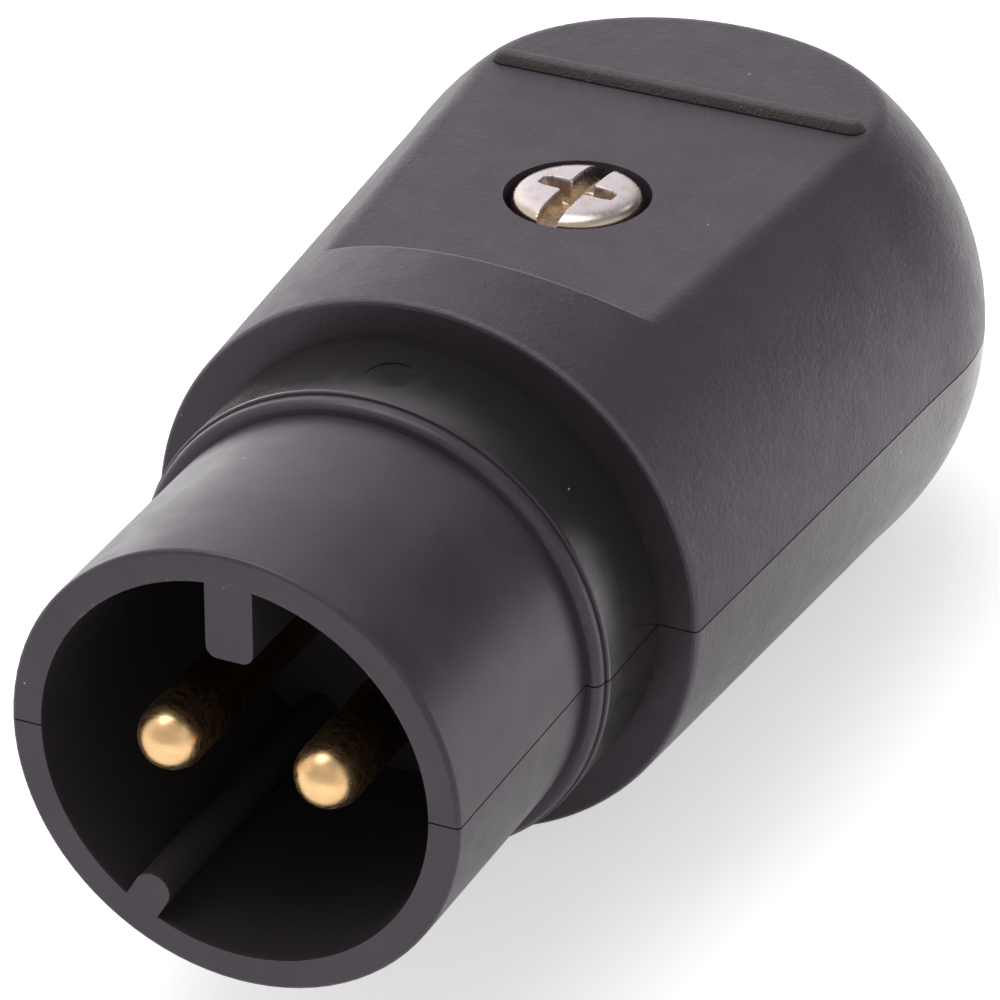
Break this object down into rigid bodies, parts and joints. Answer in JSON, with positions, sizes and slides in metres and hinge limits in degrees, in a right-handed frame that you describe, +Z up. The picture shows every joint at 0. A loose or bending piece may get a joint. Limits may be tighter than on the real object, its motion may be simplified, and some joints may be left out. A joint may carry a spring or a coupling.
{
  "type": "low voltage plug",
  "caption": "Two-pole low voltage plug with a round keyed collar, brass pins and a screwed two-shell housing with a cable inlet at the rear.",
  "frame": {"origin": "centre of the collar's front face, on the plug's axis", "axes": "+Y along the plug's axis from the collar to the cable inlet, +Z up to the screw side, +X to the right seen from the front"},
  "size_m": [0.0386, 0.0749, 0.0344],
  "materials": {
    "housing_plastic": "fine grained on the housing, satin on the collar",
    "brass": "turned and plated, satin",
    "nickel": "nickel plated steel, satin",
    "clamp_plastic": "satin",
    "zinc_steel": "zinc plated"
  },
  "bodies": {
    "root": {"upper_shell": "housing_plastic", "lower_shell": "housing_plastic", "housing_screw": "nickel", "housing_nut": "nickel", "cord_clamp": "clamp_plastic", "contact_pin_left": "brass", "terminal_screw_left": "zinc_steel", "cord_clamp_screw_left": "zinc_steel", "contact_pin_right": "brass", "terminal_screw_right": "zinc_steel", "cord_clamp_screw_right": "zinc_steel"}
  },
  "joints": []
}
